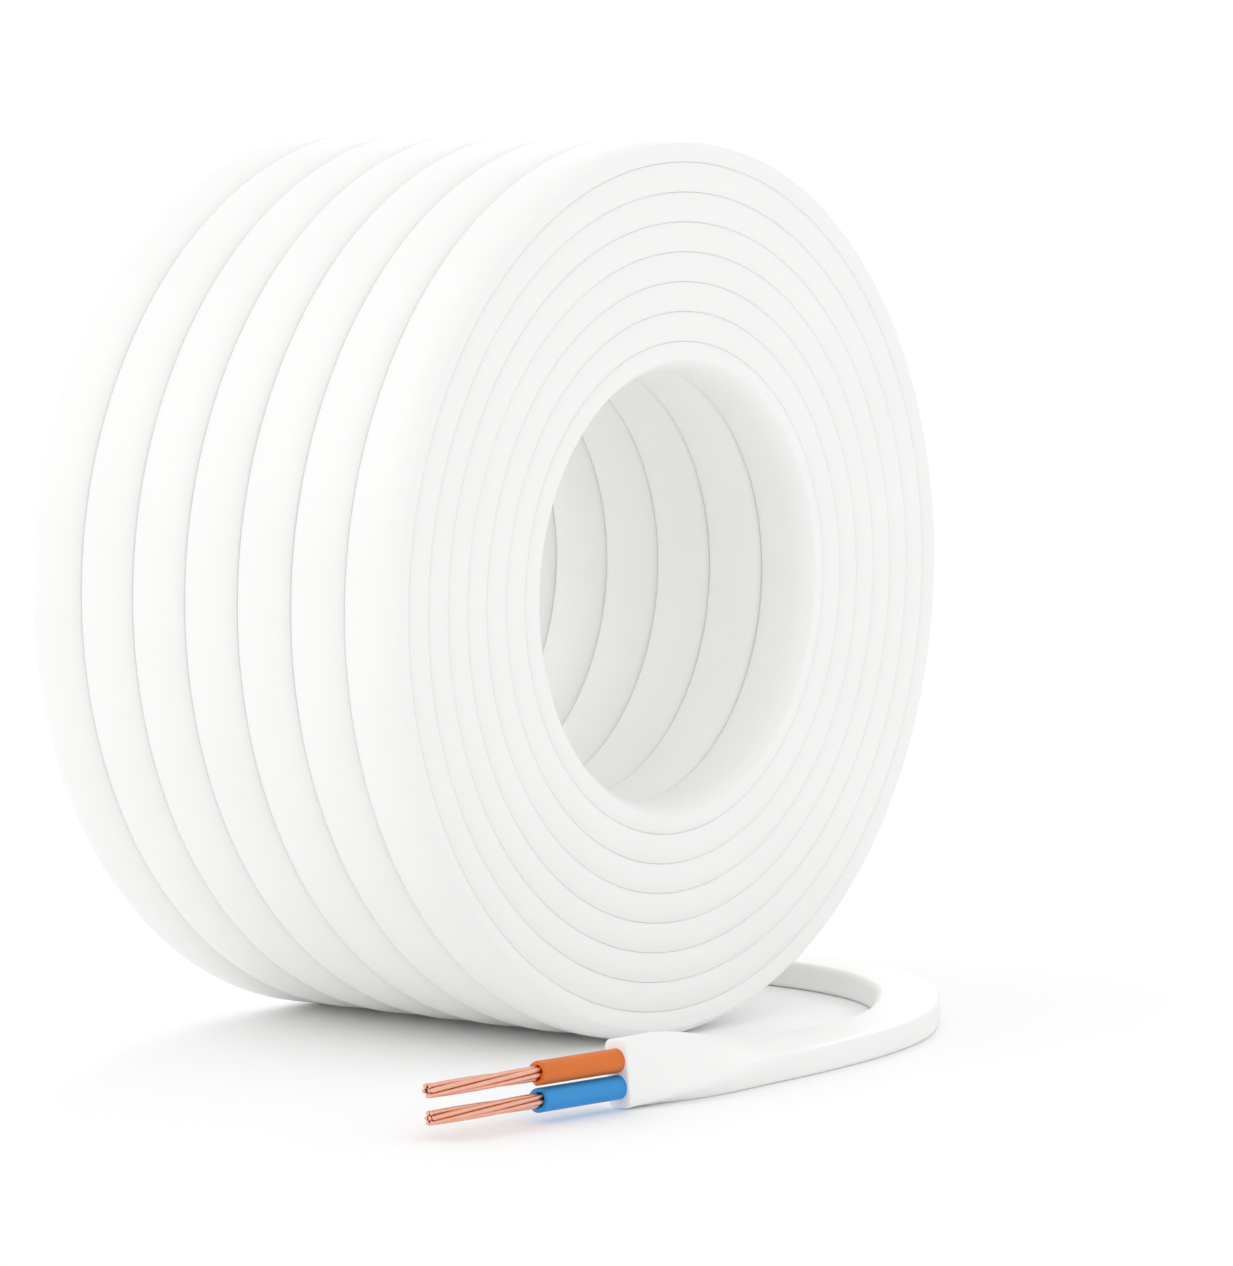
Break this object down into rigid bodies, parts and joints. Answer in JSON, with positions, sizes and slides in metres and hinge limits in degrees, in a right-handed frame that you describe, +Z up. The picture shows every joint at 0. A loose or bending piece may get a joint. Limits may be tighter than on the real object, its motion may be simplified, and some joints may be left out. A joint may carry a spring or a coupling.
{
  "type": "coil of electrical wire",
  "caption": "Coil of flat twin-core electrical cable with a white sheath, standing on its rim, its free end stripped to brown and blue cores with bare copper strands.",
  "frame": {"origin": "on the floor under the middle of the coil, at the bottom centre of its box", "axes": "+Z up; Y along the coil's axis, with the end face that shows in the picture towards -Y; +X to the right of that face, where the free end curves round"},
  "size_m": [0.1618, 0.1088, 0.137],
  "materials": {
    "white_pvc": "satin, extruded",
    "brown_pvc": "satin, extruded",
    "blue_pvc": "satin, extruded",
    "copper": null
  },
  "bodies": {
    "root": {"wound_cable": "white_pvc", "cable_tail": "white_pvc", "brown_core_insulation": "brown_pvc", "blue_core_insulation": "blue_pvc", "brown_core_conductor": "copper", "blue_core_conductor": "copper"}
  },
  "joints": []
}
